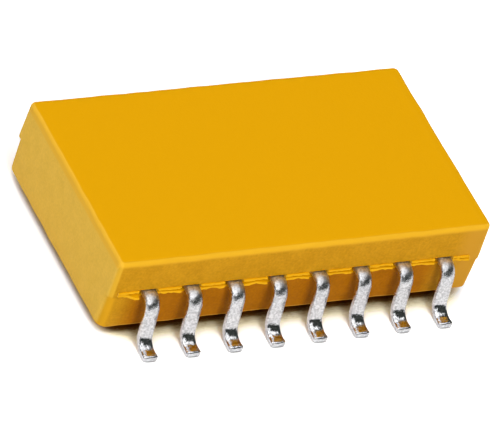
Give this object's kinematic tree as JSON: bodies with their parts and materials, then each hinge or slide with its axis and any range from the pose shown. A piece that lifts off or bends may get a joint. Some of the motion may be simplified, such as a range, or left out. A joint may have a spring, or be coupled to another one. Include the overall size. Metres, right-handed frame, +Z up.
{
  "type": "resistor network",
  "caption": "Surface-mount resistor network: a golden-yellow moulded block with gull-wing leads along both long sides and thick-film resistors on a ceramic plate inside.",
  "frame": {"origin": "centre of the footprint on the board plane that the feet stand on", "axes": "+X along the rows of leads, +Y across the body from the first row to the second, +Z up"},
  "size_m": [0.0112, 0.0084, 0.0026],
  "materials": {
    "moulding_compound": "golden-yellow filled epoxy, fine matt texture from the mould",
    "tin_plating": "bright tin plating on a copper-alloy strip",
    "alumina": "white fired alumina",
    "overcoat_glass": "green fired glass",
    "film_conductor": "fired silver-palladium print",
    "resistor_film": "dark fired thick film with a laser trim slot",
    "solder": "reflowed solder"
  },
  "bodies": {
    "root": {"moulded_body": "moulding_compound", "ceramic_plate": "alumina", "glass_overcoat": "overcoat_glass", "solder_joints": "solder", "lead_1": "tin_plating", "lead_2": "tin_plating", "lead_3": "tin_plating", "lead_4": "tin_plating", "lead_5": "tin_plating", "lead_6": "tin_plating", "lead_7": "tin_plating", "lead_8": "tin_plating", "lead_9": "tin_plating", "lead_10": "tin_plating", "lead_11": "tin_plating", "lead_12": "tin_plating", "lead_13": "tin_plating", "lead_14": "tin_plating", "lead_15": "tin_plating", "lead_16": "tin_plating", "conductor_pad_1": "film_conductor", "conductor_pad_2": "film_conductor", "conductor_pad_3": "film_conductor", "conductor_pad_4": "film_conductor", "conductor_pad_5": "film_conductor", "conductor_pad_6": "film_conductor", "conductor_pad_7": "film_conductor", "conductor_pad_8": "film_conductor", "conductor_pad_9": "film_conductor", "conductor_pad_10": "film_conductor", "conductor_pad_11": "film_conductor", "conductor_pad_12": "film_conductor", "conductor_pad_13": "film_conductor", "conductor_pad_14": "film_conductor", "conductor_pad_15": "film_conductor", "conductor_pad_16": "film_conductor", "resistor_film_1": "resistor_film", "resistor_film_2": "resistor_film", "resistor_film_3": "resistor_film", "resistor_film_4": "resistor_film", "resistor_film_5": "resistor_film", "resistor_film_6": "resistor_film", "resistor_film_7": "resistor_film", "resistor_film_8": "resistor_film"}
  },
  "joints": []
}
